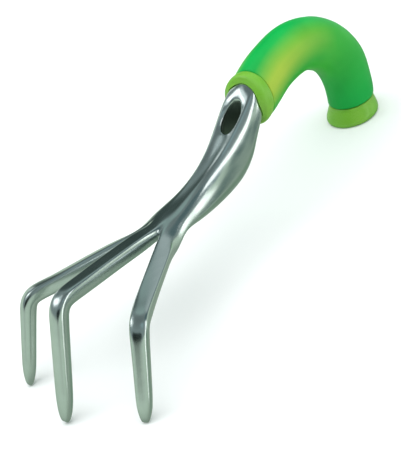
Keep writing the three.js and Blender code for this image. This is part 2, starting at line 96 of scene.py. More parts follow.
# Share of the way, with the bore's clearance round the casting.
COLLAR_BORE = [(1.01, 0.6), (0.98, 0.4), (0.71, 0.35), (0.55, 0.5), (0.25, 0.6), (0.0, 0.6)]
LIP_WALL = 2.6
LIP_END = 1.04  # share of the way at which the lip's wall would run out
LIP_TAPER = 0.4  # share of the way over which it thins from LIP_WALL
LIP_START = 0.8  # share of the way at which the collar starts to take the casting's own section

# Share of the way from the cap's seam to its end face, with the radius there.
CAP_PROFILE = [
    (0.0, 14.0), (0.02, 14.4), (0.06, 14.6), (0.16, 14.75), (0.22, 14.85), (0.3, 15.25), (0.5, 16.1),
    (0.7, 16.85), (0.82, 17.0), (0.9, 16.75), (0.96, 16.1), (0.99, 15.2), (1.0, 14.2), (1.0, 9.0), (1.0, 0.5),
]
SPIGOT_RADIUS = 7.0
SPIGOT_LENGTH = 11
SPIGOT_CHAMFER = 0.5

PIN_CENTRE = (66.4, 114.0)

ARM_ROOT_HALF_WIDTH = 5.2
ARM_HALF_WIDTH = 5.1
ARM_HALF_DEPTH = 4.3
TINE_HALF_WIDTH = 4.5
TINE_HALF_DEPTH = 3.0
TIP_WIDTHS = {0: 0.45, 1: 0.82}  # share of the width left at the last point and the one before it
TIP_DEPTHS = {0: 0.5, 1: 0.8}

# Half of a tine's cross-section: where its shoulders are across it, how high its corners stand and how
# high its middle stands, as shares of the half width and the half depth.
ARM_SECTION = (0.84, 0.7, 1.04)
TINE_SECTION = (0.72, 0.5, 1.12)

# Shank slices from the tang's end to the fork: where the slice meets the top and the bottom of the
# profile, its half width, the half width of its raised ridges and how far the channel between them sinks
# (negative where the top is crowned instead).
SHANK = [
    ((71.5, 124.0), (77.0, 116.8), 5.0, 2.2, 0.0),
    ((69.6, 123.2), (75.8, 114.6), 6.6, 2.6, 0.0),
    ((58.0, 115.5), (65.0, 105.5), 7.0, 3.0, 0.0),
    ((52.4, 113.0), (60.2, 99.4), 8.6, 4.2, -1.2),
    ((47.6, 111.8), (56.4, 96.8), 10.8, 6.2, -1.9),
    ((44.0, 108.3), (53.6, 92.2), 12.1, 7.3, -2.0),
    ((40.9, 103.0), (51.0, 86.8), 12.6, 7.7, -0.3),
    ((37.4, 98.0), (49.0, 80.4), 12.7, 7.6, 1.7),
    ((33.2, 91.2), (47.6, 73.0), 12.4, 7.1, 1.9),
    ((30.2, 86.9), (46.8, 67.7), 12.0, 6.8, 1.3),
    ((24.2, 78.0), (42.3, 58.8), 10.9, 6.0, 1.3),
    ((17.0, 70.0), (34.0, 51.8), 9.9, 5.0, 1.0),
    ((6.6, 60.8), (20.5, 44.6), 9.8, 3.8, 0.5),
    ((-6.0, 52.0), (3.4, 38.4), 11.1, 3.6, 0.2),
    ((-19.0, 45.0), (-13.0, 35.2), 12.7, 4.6, 0.0),
]
SHANK_EDGE = 0.42  # height of the shank's widest line above its underside, as a share of its depth
SHANK_BELLY = 0.34  # height that the underside's curve rises to
FLANK_ROUNDNESS = 0.9
BELLY_ROUNDNESS = 0.95
CHANNEL_SHOULDER = 0.8  # share of the sink reached halfway from the middle to a ridge
SLOT_ROWS = (6, 9)
SLOT_HALF_WIDTH = 5.7
SLOT_END_WIDTH = 0.6  # the slot's width at its first and last rows, as a share
SLOT_END_BULGE = 0.12  # how far its ends reach towards the next row, as a share
SLOT_LEVELS = (0, 0.08, 0.9, 1)  # rings down the slot's wall

FORK_TOP = (-28.2, 40.0)
FORK_BOTTOM = (-26.2, 34.2)
FORK_RISE = 1.05
FORK_EDGE_RISE = 0.5
FORK_CAMBER = 3.8
FORK_ROLL = 0.35

# Tine centreline points: (x, z) on the middle tine and (x, y, z) on an outer one.
MIDDLE_TINE = [
    (-36.0, 33.4), (-50.0, 28.6), (-66.0, 22.8), (-82.0, 16.9), (-90.8, 13.8), (-96.2, 11.2), (-98.8, 6.6),
    (-98.6, 0.0), (-97.8, -14.0), (-96.8, -30.0), (-96.0, -43.5), (-95.6, -51.0), (-95.6, -55.2),
]
OUTER_TINE = [
    (-36.0, 14.5, 28.0), (-46.5, 20.6, 22.7), (-58.0, 26.9, 16.5), (-69.6, 33.4, 9.9), (-77.0, 38.1, 6.2),
    (-81.3, 40.9, 3.5), (-82.9, 42.4, -0.8), (-82.9, 42.8, -6.0), (-82.5, 43.4, -16.0), (-82.1, 44.0, -28.0),
    (-81.7, 44.5, -39.0), (-81.5, 44.7, -44.4), (-81.4, 44.8, -48.4),
]
OUTER_YAW = math.radians(29)
OUTER_SLIM = 0.86  # the outer tines' width towards their tips, next to the middle one's
BEND_POINT = 6  # centreline point where a tine turns down
OVAL_POINTS = (3, 7)  # points between which an arm's bar turns into a tine's oval
SETTLE_POINTS = 3  # points over which an arm reaches its own yaw and width
ROLL_POINTS = 4  # points over which the fork's roll fades away

COLUMNS = 12  # quads across the top of the shank, four to each tine
HALF = COLUMNS // 2
RIDGE = 2  # columns from the middle to a ridge
ARM_COLUMNS = 4
SUBDIVISIONS = 3

RIDGE_CREASE = 0.45
PALM_CREASE = 0.25
CREASE_ROWS = (5, 12)  # the slice where the ridges' crease starts, and the one where it softens
ARM_CREASE = 0.3
ARM_CREASE_POINTS = 3

# ---------------------------------------------------------------- laying the tool down


def pin_shift():
    """The shift that puts the profile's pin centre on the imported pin's centre, in metres."""
    low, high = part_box("tang_pin")
    turn = Matrix.Rotation(REST_PITCH, 4, "Y")
    return (low + high) / 2 - turn @ (Vector((PIN_CENTRE[0], 0, PIN_CENTRE[1])) * MM)


PLACE = Matrix.Translation(pin_shift()) @ Matrix.Rotation(REST_PITCH, 4, "Y") @ Matrix.Scale(MM, 4)


def place(points):
    return [PLACE @ p for p in points]


def mix(a, b, t):
    return a + (b - a) * t


def smooth(t):
    t = min(1.0, max(0.0, t))
    return t * t * (3 - 2 * t)


# ---------------------------------------------------------------- head casting cage


class Cage:
    """Quads over points that are shared by key, with creased edges."""

    def __init__(self):
        self.points = {}
        self.faces = []
        self.creases = {}
        self.raw = set()

    def quad(self, *keys):
        self.faces.append(keys)

    def crease(self, a, b, value):
        self.creases[frozenset((a, b))] = value


def shank_section(piece):
    top, bottom, width, ridge, sink = piece
    top = Vector((top[0], 0, top[1]))
    bottom = Vector((bottom[0], 0, bottom[1]))
    depth = (top - bottom).length
    up = (top - bottom).normalized()
    sinks = (sink, CHANNEL_SHOULDER * sink, 0)
    over, under = [], []
    for j in range(COLUMNS + 1):
        side = (j > HALF) - (j < HALF)
        out = abs(j - HALF)
        y = ridge * min(1, out / RIDGE)
        z = depth - sinks[min(out, RIDGE)]
        if out > RIDGE:
            angle = (out - RIDGE) / (HALF - RIDGE) * math.pi / 2
            y = mix(ridge, width, math.sin(angle))
            z = mix(SHANK_EDGE * depth, depth, max(0.0, math.cos(angle)) ** FLANK_ROUNDNESS)
        p = bottom + up * z
        p.y = side * y
        over.append(p)
        angle = out / HALF * math.pi / 2
        low = SHANK_BELLY * depth * (1 - max(0.0, math.cos(angle)) ** FLANK_ROUNDNESS)
        p = bottom + up * low
        p.y = side * width * math.sin(angle) ** BELLY_ROUNDNESS
        under.append(p)
    return over, under


def tine_section(centre, lateral, tangent, half_width, half_depth, tine):
    """Five points over and under: a flat-topped bar on the arm (tine 0), an oval on the tine (tine 1)."""
    up = lateral.cross(tangent).normalized()
    shoulder, corner, crown = (mix(a, b, tine) for a, b in zip(ARM_SECTION, TINE_SECTION))
    across = (-1, -shoulder, 0, shoulder, 1)
    rise = (corner, 1.0, crown, 1.0, corner)
    over = [centre + lateral * (a * half_width) + up * (r * half_depth) for a, r in zip(across, rise)]
    under = [centre + lateral * (a * half_width) - up * (r * half_depth) for a, r in zip(across, rise)]
    return over, under


def fork_section():
    top = Vector((FORK_TOP[0], 0, FORK_TOP[1]))
    bottom = Vector((FORK_BOTTOM[0], 0, FORK_BOTTOM[1]))
    up = (top - bottom).normalized()
    centre = (top + bottom) / 2
    depth = (top - bottom).length / 2
    over, under = [], []
    for j in range(COLUMNS + 1):
        y = (j - HALF) / HALF * 3 * ARM_ROOT_HALF_WIDTH
        rise = FORK_EDGE_RISE if j in (0, COLUMNS) else FORK_RISE
        drop = FORK_CAMBER * (y / (2 * ARM_ROOT_HALF_WIDTH)) ** 2
        for row, sign in ((over, 1), (under, -1)):
            p = centre + up * (sign * rise * depth - drop)
            p.y = y
            row.append(p)
    return over, under


def add_shank(cage, sections):
    for i, (over, under) in enumerate(sections):
        for j in range(COLUMNS + 1):
            cage.points["t", i, j] = over[j]
            cage.points["b", i, j] = under[j]
    for i in range(len(sections) - 1):
        for j in range(COLUMNS):
            if SLOT_ROWS[0] <= i < SLOT_ROWS[1] and j in (HALF - 1, HALF):
                continue
            cage.quad(("t", i, j), ("t", i, j + 1), ("t", i + 1, j + 1), ("t", i + 1, j))
            cage.quad(("b", i, j), ("b", i + 1, j), ("b", i + 1, j + 1), ("b", i, j + 1))
        cage.quad(("t", i, 0), ("t", i + 1, 0), ("b", i + 1, 0), ("b", i, 0))
        cage.quad(("t", i, COLUMNS), ("b", i, COLUMNS), ("b", i + 1, COLUMNS), ("t", i + 1, COLUMNS))
    for j in range(COLUMNS):
        cage.quad(("t", 0, j), ("b", 0, j), ("b", 0, j + 1), ("t", 0, j + 1))


def add_slot(cage):
    first, last = SLOT_ROWS
    loop = [(i, HALF - 1) for i in range(first, last + 1)]
    loop += [(last, HALF)]
    loop += [(i, HALF + 1) for i in range(last, first - 1, -1)]
    loop += [(first, HALF)]
    for i in range(first + 1, last):
        del cage.points["t", i, HALF]
        del cage.points["b", i, HALF]
    last_level = len(SLOT_LEVELS) - 1

    def key(level, spot):
        if level == 0:
            return ("t", *spot)
        if level == last_level:
            return ("b", *spot)
        return ("w", level, *spot)

    for letter in "tb":
        for row, beyond in ((first, first - 1), (last, last + 1)):
            middle = cage.points[letter, row, HALF]
            cage.points[letter, row, HALF] = middle.lerp(cage.points[letter, beyond, HALF], SLOT_END_BULGE)
    # The wall's inner rings are marked raw: rough as-cast metal, with painted shade darkening its colour in
    # the recess.
    for i, j in loop:
        y = (j - HALF) * SLOT_HALF_WIDTH * (SLOT_END_WIDTH if i in SLOT_ROWS else 1)
        over, under = cage.points["t", i, j], cage.points["b", i, j]
        over.y = under.y = y
        for level in range(1, last_level):
            cage.points[key(level, (i, j))] = over.lerp(under, SLOT_LEVELS[level])
            cage.raw.add(key(level, (i, j)))
    for level in range(last_level):
        for n, spot in enumerate(loop):
            after = loop[(n + 1) % len(loop)]
            cage.quad(key(level, spot), key(level + 1, spot), key(level + 1, after), key(level, after))


def add_tines(cage, fork_row):
    for arm, side in enumerate((-1, 0, 1)):
        if side == 0:
            centres = [Vector((x, 0, z)) for x, z in MIDDLE_TINE]
        else:
            centres = [Vector((x, side * y, z)) for x, y, z in OUTER_TINE]
        count = len(centres)

        def name(letter, i, k):
            if i < 0:
                return (letter, fork_row, ARM_COLUMNS * arm + k)
            return (letter, "tine", arm, i, k)

        for i, centre in enumerate(centres):
            tangent = (centres[min(i + 1, count - 1)] - centres[max(i - 1, 0)]).normalized()
            settled = min(1, (i + 1) / SETTLE_POINTS)
            turn = side * OUTER_YAW * settled
            roll = side * FORK_ROLL * max(0, 1 - i / ROLL_POINTS)
            lateral = Vector((math.sin(turn), math.cos(turn), -roll))
            lateral = (lateral - tangent * lateral.dot(tangent)).normalized()
            along = max(0, (i - BEND_POINT) / (count - 1 - BEND_POINT))
            last = count - 1 - i
            root = mix(ARM_ROOT_HALF_WIDTH, ARM_HALF_WIDTH, settled)
            half_width = mix(root, TINE_HALF_WIDTH, along) * TIP_WIDTHS.get(last, 1)
            half_depth = mix(ARM_HALF_DEPTH, TINE_HALF_DEPTH, along) * TIP_DEPTHS.get(last, 1)
            if side:
                half_width *= mix(1, OUTER_SLIM, along)
            oval = smooth((i - OVAL_POINTS[0]) / (OVAL_POINTS[1] - OVAL_POINTS[0]))
            over, under = tine_section(centre, lateral, tangent, half_width, half_depth, oval)
            for k in range(ARM_COLUMNS + 1):
                cage.points[name("t", i, k)] = over[k]
                cage.points[name("b", i, k)] = under[k]
        for i in range(-1, count - 1):
            for k in range(ARM_COLUMNS):
                cage.quad(name("t", i, k), name("t", i, k + 1), name("t", i + 1, k + 1), name("t", i + 1, k))
                cage.quad(name("b", i, k), name("b", i + 1, k), name("b", i + 1, k + 1), name("b", i, k + 1))
            cage.quad(name("t", i, 0), name("t", i + 1, 0), name("b", i + 1, 0), name("b", i, 0))
            edge = ARM_COLUMNS
            cage.quad(name("t", i, edge), name("b", i, edge), name("b", i + 1, edge), name("t", i + 1, edge))
            if i < ARM_CREASE_POINTS:
                for k in (1, edge - 1):
                    cage.crease(name("t", i, k), name("t", i + 1, k), ARM_CREASE)
        end = count - 1
        for k in range(ARM_COLUMNS):
            cage.quad(name("t", end, k), name("t", end, k + 1), name("b", end, k + 1), name("b", end, k))


def head_cage():
    cage = Cage()
    sections = [shank_section(piece) for piece in SHANK] + [fork_section()]
    add_shank(cage, sections)
    add_slot(cage)
    add_tines(cage, len(sections) - 1)
    for i in range(CREASE_ROWS[0], len(SHANK) - 1):
        for j in (HALF - RIDGE, HALF + RIDGE):
            cage.crease(("t", i, j), ("t", i + 1, j), RIDGE_CREASE if i < CREASE_ROWS[1] else PALM_CREASE)
    return cage


# ---------------------------------------------------------------- mesh helpers


def new_mesh(name, points, faces):
    mesh = bpy.data.meshes.new(name)
    mesh.from_pydata([tuple(p) for p in points], [], faces)
    mesh.validate()
    mesh.update()
    for polygon in mesh.polygons:
        polygon.use_smooth = True
    return mesh


def new_object(name, mesh):
    piece = bpy.data.objects.new(name, mesh)
    bpy.context.scene.collection.objects.link(piece)
    return piece


def apply_modifiers(piece):
    graph = bpy.context.evaluated_depsgraph_get()
    mesh = bpy.data.meshes.new_from_object(piece.evaluated_get(graph))
    piece.modifiers.clear()
    piece.data = mesh


def head_piece():
    cage = head_cage()
    keys = list(cage.points)
    index = {key: i for i, key in enumerate(keys)}
    faces = [[index[key] for key in face] for face in cage.faces]
    mesh = new_mesh("head", place([cage.points[key] for key in keys]), faces)
    crease = mesh.attributes.new("crease_edge", "FLOAT", "EDGE")
    creases = {frozenset(index[key] for key in edge): value for edge, value in cage.creases.items()}
    for edge in mesh.edges:
        crease.data[edge.index].value = creases.get(frozenset(edge.vertices), 0.0)
    # Marks the slot's inner wall: rough as-cast metal, and painted shade that darkens its colour in the
    # recess.
    raw = mesh.attributes.new("as_cast_and_shade", "FLOAT", "POINT")
    for key in cage.raw:
        raw.data[index[key]].value = 1.0
    piece = new_object("head_polished", mesh)
    subdivision = piece.modifiers.new("Smooth", "SUBSURF")
    subdivision.levels = subdivision.render_levels = SUBDIVISIONS
    apply_modifiers(piece)
    return piece


# ---------------------------------------------------------------- grip


def catmull_rom(points):
    """A uniform Catmull-Rom curve through 2-D points: its point and tangent at a share, and its length."""
    ghost = [
        [2 * points[0][k] - points[1][k] for k in (0, 1)],
        *points,
        [2 * points[-1][k] - points[-2][k] for k in (0, 1)],
    ]

    def raw(t):
        spans = len(points) - 1
        t = min(max(t, 0.0), 1.0) * spans
        i = min(int(t), spans - 1)
        w = t - i
        out = []
        for k in (0, 1):
            a, b, c, d = (ghost[i + n][k] for n in range(4))
            square = (2 * a - 5 * b + 4 * c - d) * w * w
            cube = (3 * b - a - 3 * c + d) * w**3
            out.append(0.5 * (2 * b + (c - a) * w + square + cube))
        return Vector((out[0], 0, out[1]))

    samples = 400
    spots = [raw(n / samples) for n in range(samples + 1)]
    lengths = [0.0]
    for a, b in zip(spots, spots[1:]):
        lengths.append(lengths[-1] + (b - a).length)

    def at(u):
        target = min(max(u, 0.0), 1.0) * lengths[-1]
        low, high = 0, samples
        while high - low > 1:
            middle = (low + high) // 2
            if lengths[middle] <= target:
                low = middle
            else:
                high = middle
        part = (target - lengths[low]) / (lengths[high] - lengths[low])
        return raw((low + part) / samples)

    def tangent(u):
        step = 1e-4
        return (at(min(1, u + step)) - at(max(0, u - step))).normalized()

    return at, tangent, lengths[-1]


grip_at, grip_tangent, GRIP_LENGTH = catmull_rom(GRIP_AXIS)
DOWN_ON_BENCH = Vector((math.sin(REST_PITCH), 0, -math.cos(REST_PITCH)))


def grip_radius(t):
    spot = t * (len(GRIP_RADII) - 1)
    i = min(int(spot), len(GRIP_RADII) - 2)
    return mix(GRIP_RADII[i], GRIP_RADII[i + 1], smooth(spot - i))


def lean(direction, angle):
    return Matrix.Rotation(angle, 3, "Y") @ direction


def grip_direction(t):
    near_seam = max(0.0, 1 - t / LEAN_REACH) ** 2
    near_cap = max(0.0, 1 - (CAP_SEAM - t) / LEAN_REACH) ** 2
    if t >= CAP_SEAM:
        return DOWN_ON_BENCH.copy()
    return lean(grip_tangent(t), SEAM_LEAN * near_seam).lerp(DOWN_ON_BENCH, near_cap).normalized()


SIDES = 96


def ring(centre, direction, radius):
    up = Vector((-direction.z, 0, direction.x))
    points = []
    for k in range(SIDES):
        angle = 2 * math.pi * k / SIDES
        r = radius(angle) if callable(radius) else radius
        p = centre + up * (r * math.sin(angle))
        p.y = r * math.cos(angle)
        points.append(p)
    return points


def loft(rings, closed):
    """Quads over a row of rings: a closed row joins its last ring to its first, an open one has end faces."""
    points = [p for one in rings for p in one]
    faces = []
    spans = len(rings) if closed else len(rings) - 1
    for i in range(spans):
        a, b = i * SIDES, (i + 1) % len(rings) * SIDES
        for k in range(SIDES):
            after = (k + 1) % SIDES
            faces.append((a + k, a + after, b + after, b + k))
    if not closed:
        last = (len(rings) - 1) * SIDES
        faces.append(tuple(reversed(range(SIDES))))
        faces.append(tuple(last + k for k in range(SIDES)))
    return points, faces


def sleeve_piece():
    start, end = GAP / GRIP_LENGTH, CAP_SEAM - GAP / GRIP_LENGTH
    angles = [n * math.pi / (2 * FILLET_STEPS) for n in range(FILLET_STEPS + 1)]
    edge = [SLEEVE_FILLET * (1 - math.cos(a)) for a in angles]
    drop = [SLEEVE_FILLET * (1 - math.sin(a)) for a in angles]
    places = [(start + e / GRIP_LENGTH, d) for e, d in zip(edge, drop)]
    inner_start, inner_end = places[-1][0], end - SLEEVE_FILLET / GRIP_LENGTH
    places += [(mix(inner_start, inner_end, n / SLEEVE_STEPS), 0.0) for n in range(1, SLEEVE_STEPS)]
    places += [(end - e / GRIP_LENGTH, d) for e, d in reversed(list(zip(edge, drop)))]
    outside = [ring(grip_at(t), grip_direction(t), parted(grip_radius(t) - d)) for t, d in places]
    bore = [mix(start, end, n / BORE_STEPS) for n in range(BORE_STEPS, -1, -1)]
    inside = [ring(grip_at(t), grip_direction(t), grip_radius(t) - SLEEVE_WALL) for t in bore]
    points, faces = loft(outside + inside, True)
    piece = new_object("sleeve_soft", new_mesh("sleeve", place(points), faces))
    write_grip_coordinates(piece, [t for t, _ in places] + bore)
    return piece


def parted(radius):
    """A radius with the mould's faint parting line along the tool's plane of symmetry."""

    def at(angle):
        off = min(abs(angle - math.pi / 2), abs(angle - 3 * math.pi / 2)) * radius
        return radius + PARTING_HEIGHT * math.exp(-((off / PARTING_WIDTH) ** 2))

    return at


def write_grip_coordinates(piece, along):
    """Stores how far along the grip and how far up its side each vertex is, for the sleeve's colouring, its
    painted highlight and its painted shade.
    """
    grip_along = piece.data.attributes.new("grip_along", "FLOAT", "POINT")
    grip_up = piece.data.attributes.new("grip_up", "FLOAT", "POINT")
    for i, t in enumerate(along):
        for k in range(SIDES):
            grip_along.data[i * SIDES + k].value = t
            grip_up.data[i * SIDES + k].value = math.sin(2 * math.pi * k / SIDES)


def collar_piece(head):
    front = Vector((COLLAR_FRONT[0], 0, COLLAR_FRONT[1]))
    tangent = grip_tangent(0)
    tree = casting_tree(head)

    def frame_at(part):
        centre = grip_at(0).lerp(front, part)
        return centre, lean(tangent, mix(SEAM_LEAN, COLLAR_FRONT_LEAN, part))

    def lip_ring(part, radius):
        """Round by the seam, and closing in on the casting's own section towards the lip."""
        centre, direction = frame_at(part)
        bow = COLLAR_BOW * part * part
        round_one = [
            p - direction * (bow * math.cos(4 * math.pi * k / SIDES))
            for k, p in enumerate(ring(centre, direction, radius))
        ]
        hugging = hugging_ring(tree, centre, direction, LIP_WALL * (LIP_END - part) / LIP_TAPER, bow)
        share = smooth((part - LIP_START) / (1 - LIP_START))
        return [a.lerp(b, share) for a, b in zip(round_one, hugging)]

    outside = [lip_ring(part, radius) for part, radius in COLLAR_PROFILE]
    inside = [
        hugging_ring(tree, *frame_at(part), clearance, COLLAR_BOW * part * part)
        for part, clearance in COLLAR_BORE
    ]
    points, faces = loft((outside + inside)[::-1], True)
    return new_object("collar_moulded", new_mesh("collar", place(points), faces))


def casting_tree(head):
    back = PLACE.inverted()
    vertices = [back @ v.co for v in head.data.vertices]
    return BVHTree.FromPolygons(vertices, [tuple(p.vertices) for p in head.data.polygons])


LOOK_FROM = 40.0  # how far out the looks in towards the casting start
BARE_RADIUS = 6.0  # the radius taken where a look misses the casting
NEIGHBOURS = 2  # looks on each side that one is evened out with


def hugging_ring(tree, centre, direction, clearance, bow):
    """A ring just clear of the casting, found by looking in towards it from all round."""
    up = Vector((-direction.z, 0, direction.x))
    starts, outs, distances = [], [], []
    for k in range(SIDES):
        angle = 2 * math.pi * k / SIDES
        out = up * math.sin(angle) + Vector((0, math.cos(angle), 0))
        start = centre - direction * (bow * math.cos(2 * angle))
        hit, _, _, distance = tree.ray_cast(start + out * LOOK_FROM, -out, LOOK_FROM)
        distances.append(LOOK_FROM - distance if hit else BARE_RADIUS)
        starts.append(start)
        outs.append(out)
    points = []
    for k in range(SIDES):
        near = [distances[(k + n) % SIDES] for n in range(-NEIGHBOURS, NEIGHBOURS + 1)]
        r = max(sum(near) / len(near), distances[k]) + clearance
        points.append(starts[k] + outs[k] * r)
    return points


def cap_piece(bench_level):
    seam = grip_at(CAP_SEAM)
    tangent = grip_tangent(CAP_SEAM)
    reach = (bench_level - seam.dot(DOWN_ON_BENCH)) / tangent.dot(DOWN_ON_BENCH)
    rings = []
    for part, radius in CAP_PROFILE:
        rings.append(ring(seam + tangent * (part * reach), DOWN_ON_BENCH, radius))
    spigot = [
        ring(seam - DOWN_ON_BENCH * back, DOWN_ON_BENCH, radius)
        for back, radius in (
            (SPIGOT_LENGTH, SPIGOT_RADIUS - SPIGOT_CHAMFER),
            (SPIGOT_LENGTH - SPIGOT_CHAMFER, SPIGOT_RADIUS),
            (0, SPIGOT_RADIUS),
        )
    ]
    points, faces = loft(spigot + rings, False)
    return new_object("cap_moulded", new_mesh("cap", place(points), faces))


# ---------------------------------------------------------------- materials


class Nodes:
    """Short calls for building one material's nodes."""

    def __init__(self, name):
        self.material = bpy.data.materials.new(name)
        self.material.use_nodes = True
        self.tree = self.material.node_tree
        self.shader = self.tree.nodes["Principled BSDF"]
        self.where = self.tree.nodes.new("ShaderNodeTexCoord").outputs["Object"]

    def set(self, **values):
        for socket, value in values.items():
            self.shader.inputs[socket.replace("_", " ")].default_value = value

    def link(self, source, socket):
        self.tree.links.new(source, self.shader.inputs[socket])

    def new(self, kind, settings=None, **inputs):
        node = self.tree.nodes.new(kind)
        for key, value in (settings or {}).items():
            setattr(node, key, value)
        for key, value in inputs.items():
            socket = node.inputs[int(key[1:])] if key[0] == "i" and key[1:].isdigit() else node.inputs[key]
            if isinstance(value, bpy.types.NodeSocket):
                self.tree.links.new(value, socket)
            else:
                socket.default_value = value
        return node

    def noise(self, scale, detail=2.0, roughness=0.5, stretch=None):
        where = self.where
        if stretch:
            where = self.new("ShaderNodeMapping", Vector=where, Scale=stretch).outputs["Vector"]
        return self.new(
            "ShaderNodeTexNoise", Vector=where, Scale=scale, Detail=detail, Roughness=roughness
        ).outputs["Fac"]

    def range(self, value, low, high, to_low, to_high):
        node = self.new("ShaderNodeMapRange", {"clamp": True}, Value=value)
        for socket, number in zip(("From Min", "From Max", "To Min", "To Max"), (low, high, to_low, to_high)):
            node.inputs[socket].default_value = number
        return node.outputs["Result"]

    def blend(self, factor, a, b):
        node = self.new("ShaderNodeMix", {"data_type": "RGBA"}, i0=factor, i6=a, i7=b)
        return node.outputs[2]

    def math(self, operation, a, b):
        return self.new("ShaderNodeMath", {"operation": operation}, i0=a, i1=b).outputs[0]

    def bump(self, layers):
        normal = None
        for height, distance, strength in layers:
            node = self.new("ShaderNodeBump", Height=height, Distance=distance, Strength=strength)
            if normal:
                self.tree.links.new(normal, node.inputs["Normal"])
            normal = node.outputs["Normal"]
        self.link(normal, "Normal")


# Colours, each pair a darker and a lighter cast of one.
DULL_METAL, BRIGHT_METAL = (0.57, 0.62, 0.61, 1), (0.66, 0.71, 0.7, 1)
# The slot's inner wall: rough as-cast metal, its colour darkened as painted shade.
AS_CAST_SHADE = (0.21, 0.25, 0.22, 1)
# The sleeve's green in a painted-shade copy and a lit copy; within each pair the two casts vary at random.
SHADED_GREEN = ((0.0, 0.33, 0.052, 1), (0.0, 0.38, 0.062, 1))
LIT_GREEN = ((0.028, 0.36, 0.034, 1), (0.042, 0.4, 0.04, 1))
# A painted highlight: the yellow-green that the lit flanks of the sleeve's front half are coloured with.
HIGHLIGHT_YELLOW_GREEN = (0.36, 0.49, 0.052, 1)
DEEP_LIME, LIME = (0.15, 0.4, 0.032, 1), (0.19, 0.44, 0.038, 1)
DEEP_CORE, CORE = (0.16, 0.37, 0.05, 1), (0.2, 0.42, 0.06, 1)
DULL_STEEL, BRIGHT_STEEL = (0.42, 0.42, 0.42, 1), (0.56, 0.56, 0.55, 1)


def aluminium_material():
    m = Nodes("cast_aluminium")
    m.set(Metallic=1.0)
    cloud = m.noise(38.0, 3.0)
    grain = m.noise(260.0, 3.0, 0.6, stretch=(0.25, 1.0, 1.0))
    # raw is the slot's inner wall: it raises the roughness as cast, and it darkens the colour as painted
    # shade.
    raw = m.range(m.new("ShaderNodeAttribute", {"attribute_name": "as_cast_and_shade"}).outputs["Fac"], 0.35, 0.8, 0, 1)
    polished = m.blend(m.range(cloud, 0.3, 0.7, 0, 1), DULL_METAL, BRIGHT_METAL)
    m.link(m.blend(raw, polished, AS_CAST_SHADE), "Base Color")
    worn = m.math("ADD", m.range(cloud, 0.3, 0.7, 0.13, 0.19), m.range(grain, 0.3, 0.7, 0.0, 0.07))
    m.link(m.math("MAXIMUM", worn, m.math("MULTIPLY", raw, 0.6)), "Roughness")
    m.bump([(m.noise(45.0, 1.0), 0.00025, 0.5), (grain, 0.00003, 0.4)])
    return m.material


def sleeve_material():
    m = Nodes("sleeve_rubber")
    m.set(Specular_IOR_Level=0.16, Coat_Weight=0.08, Coat_Roughness=0.28)
    along = m.new("ShaderNodeAttribute", {"attribute_name": "grip_along"}).outputs["Fac"]
    height = m.new("ShaderNodeAttribute", {"attribute_name": "grip_up"}).outputs["Fac"]
    cloud = m.noise(30.0, 2.0)
    # A painted highlight: a yellow-green band along both flanks of the front half of the sleeve, mottled by
    # the noise.
    highlight_band = m.math("MULTIPLY", m.range(height, 0.95, 0.45, 0, 1), m.range(height, -0.45, 0.2, 0, 1))
    highlight_fade = m.math("MULTIPLY", m.range(along, 0.12, 0.5, 1, 0), highlight_band)
    painted_highlight = m.math("MULTIPLY", highlight_fade, m.range(cloud, 0.2, 0.8, 0.85, 1))
    # Painted shade: the green turns deeper along the outside of the arch and over the part towards the cap.
    side = m.math("MULTIPLY", m.range(height, 1.0, 0.6, 0, 1), m.range(along, 0.5, 0.85, 1, 0.15))
    fleck = m.range(m.noise(60.0, 2.0), 0.3, 0.7, 0, 1)
    green = m.blend(side, m.blend(fleck, *SHADED_GREEN), m.blend(fleck, *LIT_GREEN))
    m.link(m.blend(painted_highlight, green, HIGHLIGHT_YELLOW_GREEN), "Base Color")
    grain = m.noise(2600.0, 2.0, 0.6)
    m.link(m.range(grain, 0.3, 0.7, 0.34, 0.46), "Roughness")
    m.bump([(grain, 0.00005, 0.3)])
    return m.material


def moulded_material(name, light, dark, roughness):
    m = Nodes(name)
    cloud = m.noise(55.0, 2.0)
    m.link(m.blend(m.range(cloud, 0.3, 0.7, 0, 1), dark, light), "Base Color")
    grain = m.noise(1900.0, 2.0, 0.6)
    m.link(m.range(grain, 0.3, 0.7, roughness - 0.05, roughness + 0.06), "Roughness")
    m.bump([(grain, 0.00005, 0.25)])
    return m.material


def steel_material():
    m = Nodes("pin_steel")
    m.set(Metallic=1.0)
    grain = m.noise(900.0, 2.0, 0.6, stretch=(1.0, 0.1, 1.0))
    m.link(m.blend(grain, DULL_STEEL, BRIGHT_STEEL), "Base Color")
    m.link(m.range(grain, 0.3, 0.7, 0.28, 0.42), "Roughness")
    return m.material


# ---------------------------------------------------------------- the pieces


def dress(piece, material, slot, *nodes):
    piece.data.materials.clear()
    piece.data.materials.append(material)
    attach(piece, "root")
    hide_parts(*nodes)


head = head_piece()
bench_level = DOWN_ON_BENCH.dot(PLACE.inverted() @ Vector((0, 0, 0)))
sleeve = sleeve_piece()
collar = collar_piece(head)
cap = cap_piece(bench_level)
dress(head, aluminium_material(), "cast_aluminium", "head_casting")
dress(sleeve, sleeve_material(), "sleeve_rubber", "grip_sleeve")
dress(collar, moulded_material("collar_plastic", LIME, DEEP_LIME, 0.3), "collar_plastic", "front_collar")
dress(cap, moulded_material("cap_plastic", LIME, DEEP_LIME, 0.3), "cap_plastic", "end_cap")

core_finish = moulded_material("core_plastic", CORE, DEEP_CORE, 0.55)
carried_finishes = {"core_half_near": core_finish, "core_half_far": core_finish, "tang_pin": steel_material()}
for node, finish in carried_finishes.items():
    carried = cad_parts[node]
    carried.data.materials.clear()
    carried.data.materials.append(finish)

# ---------------------------------------------------------------- floor, light and camera


FLOOR = 8.0


